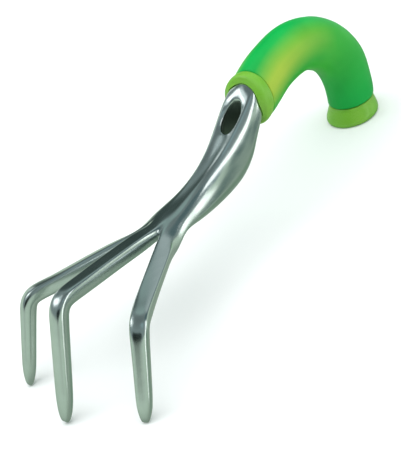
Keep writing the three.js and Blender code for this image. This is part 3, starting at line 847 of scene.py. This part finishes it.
def floor_piece():
    corners = [(-FLOOR, -FLOOR, 0), (FLOOR, -FLOOR, 0), (FLOOR, FLOOR, 0), (-FLOOR, FLOOR, 0)]
    piece = new_object("floor", new_mesh("floor", corners, [(0, 1, 2, 3)]))
    m = Nodes("floor")
    m.set(Roughness=0.9)
    m.link(m.blend(m.noise(3.0, 2.0), (0.86, 0.865, 0.86, 1), (0.88, 0.885, 0.88, 1)), "Base Color")
    piece.data.materials.append(m.material)
    piece.visible_glossy = False


def softbox(name, towards, distance, size, radiance, target, roll=0):
    """A rectangular soft light that looks at the target from a direction."""
    light = bpy.data.lights.new(name, "AREA")
    light.shape = "RECTANGLE"
    light.size, light.size_y = size
    light.energy = radiance * math.pi * size[0] * size[1]
    lamp = bpy.data.objects.new(name, light)
    bpy.context.scene.collection.objects.link(lamp)
    direction = Vector(towards).normalized()
    lamp.location = target + direction * distance
    turn = direction.to_track_quat("Z", "Y").to_matrix() @ Matrix.Rotation(math.radians(roll), 3, "Z")
    lamp.rotation_euler = turn.to_euler()
    return lamp


def compass(azimuth, elevation):
    """A direction from degrees round from +X towards +Y, and degrees up."""
    a, e = math.radians(azimuth), math.radians(elevation)
    return Vector((math.cos(a) * math.cos(e), math.sin(a) * math.cos(e), math.sin(e)))


floor_piece()
low, high = (Vector(v) for v in CAD_BOUNDS)
middle = (low + high) / 2
overhead = softbox("overhead", (0.0, 0.0, 1.0), 1.5, (3.0, 3.0), 2.1, middle)
overhead.visible_glossy = False
softbox("side_strip", compass(-77, 9.5), 6.0, (1.45, 8.1), 1.8, middle, roll=-32)
softbox("side_box", compass(-48, -2), 6.0, (0.95, 3.1), 1.8, middle)
softbox("back_box", compass(112, 43), 6.0, (2.4, 2.2), 1.4, middle)

# What the metal mirrors between the lights: the room's colour at each height, then patches of it as
# (azimuth, elevation, inner radius, outer radius, colour), in degrees.
ROOM = [
    (-1.0, (0.3, 0.38, 0.3)), (-0.6, (0.33, 0.42, 0.34)), (-0.4, (0.44, 0.55, 0.45)),
    (-0.1, (0.58, 0.72, 0.59)), (0.13, (0.6, 0.73, 0.62)), (0.21, (0.24, 0.3, 0.29)),
    (0.7, (0.25, 0.32, 0.32)), (1.0, (0.16, 0.2, 0.2)),
]
BACKDROP = (0.86, 0.88, 0.87)  # what the camera sees in the room's place
PATCHES = [
    (47, 18, 12, 28, (0.05, 0.075, 0.07)),
    (10, 34, 4, 15, (0.47, 0.56, 0.56)),
    (30, 50, 5, 14, (0.33, 0.45, 0.43)),
    (-30, 42, 10, 22, (0.1, 0.16, 0.17)),
    (76, 36, 4, 9, (0.13, 0.18, 0.17)),
    (81, 58, 2, 7, (0.8, 0.9, 0.9)),
    (70, 16, 3, 7, (1.0, 1.1, 1.1)),
    (116, 52, 10, 26, (0.5, 0.6, 0.61)),
    (126, 56, 7, 15, (0.95, 1.05, 1.05)),
    (178, 24, 13, 17, (0.013, 0.02, 0.018)),
    (-166, 24, 13, 17, (0.013, 0.02, 0.018)),
    (-151, 25, 12, 16, (0.022, 0.032, 0.03)),
    (-66, 22, 8, 14, (0.15, 0.24, 0.25)),
    (-65, 6, 5, 9, (0.15, 0.23, 0.25)),
    (-78, -10, 4, 8, (0.13, 0.2, 0.19)),
    (-71, -17, 4, 8, (0.13, 0.2, 0.19)),
    (-58, -23, 4, 7, (0.13, 0.2, 0.19)),
    (-47, -23, 4, 7, (0.13, 0.2, 0.19)),
    (-36, -45, 5, 15, (0.23, 0.35, 0.25)),
    (-108, 62, 5, 14, (0.3, 0.42, 0.44)),
]


def studio_world():
    world = bpy.data.worlds.new("studio")
    bpy.context.scene.world = world
    world.use_nodes = True
    tree = world.node_tree
    where = tree.nodes.new("ShaderNodeTexCoord").outputs["Generated"]
    split = tree.nodes.new("ShaderNodeSeparateXYZ")
    ramp = tree.nodes.new("ShaderNodeValToRGB")
    height = tree.nodes.new("ShaderNodeMapRange")
    height.inputs["From Min"].default_value = -1.0
    tree.links.new(where, split.inputs["Vector"])
    tree.links.new(split.outputs["Z"], height.inputs["Value"])
    tree.links.new(height.outputs["Result"], ramp.inputs["Fac"])
    while len(ramp.color_ramp.elements) < len(ROOM):
        ramp.color_ramp.elements.new(0.5)
    for element, (z, colour) in zip(ramp.color_ramp.elements, ROOM):
        element.position = (z + 1) / 2
        element.color = (*colour, 1)
    colour = ramp.outputs["Color"]
    for azimuth, elevation, inner, outer, patch in PATCHES:
        dot = tree.nodes.new("ShaderNodeVectorMath")
        dot.operation = "DOT_PRODUCT"
        dot.inputs[1].default_value = compass(azimuth, elevation)
        tree.links.new(where, dot.inputs[0])
        near = tree.nodes.new("ShaderNodeMapRange")
        near.interpolation_type = "SMOOTHSTEP"
        near.inputs["From Min"].default_value = math.cos(math.radians(outer))
        near.inputs["From Max"].default_value = math.cos(math.radians(inner))
        tree.links.new(dot.outputs["Value"], near.inputs["Value"])
        over = tree.nodes.new("ShaderNodeMix")
        over.data_type = "RGBA"
        over.inputs[7].default_value = (*patch, 1)
        tree.links.new(near.outputs["Result"], over.inputs[0])
        tree.links.new(colour, over.inputs[6])
        colour = over.outputs[2]
    plain = tree.nodes.new("ShaderNodeMix")
    plain.data_type = "RGBA"
    plain.inputs[7].default_value = (*BACKDROP, 1)
    tree.links.new(tree.nodes.new("ShaderNodeLightPath").outputs["Is Camera Ray"], plain.inputs[0])
    tree.links.new(colour, plain.inputs[6])
    tree.links.new(plain.outputs[2], tree.nodes["Background"].inputs["Color"])


studio_world()

# The camera's place, the direction from what it looks at back to it, and its up.
CAMERA_PLACE = Vector((-0.42144, -0.49283, 0.42730))
CAMERA_BACK = Vector((-0.5366, -0.6554, 0.5315))
CAMERA_UP = Vector((0.6096, 0.1344, 0.7812))
lens = bpy.data.cameras.new("camera")
lens.lens = 105.52
lens.sensor_width = 36.0
camera = bpy.data.objects.new("camera", lens)
bpy.context.scene.collection.objects.link(camera)
right = CAMERA_UP.cross(CAMERA_BACK).normalized()
turn = Matrix((right, CAMERA_BACK.cross(right), CAMERA_BACK)).transposed().to_4x4()
camera.matrix_world = Matrix.Translation(CAMERA_PLACE) @ turn
bpy.context.scene.camera = camera
bpy.context.scene.view_settings.view_transform = "Standard"
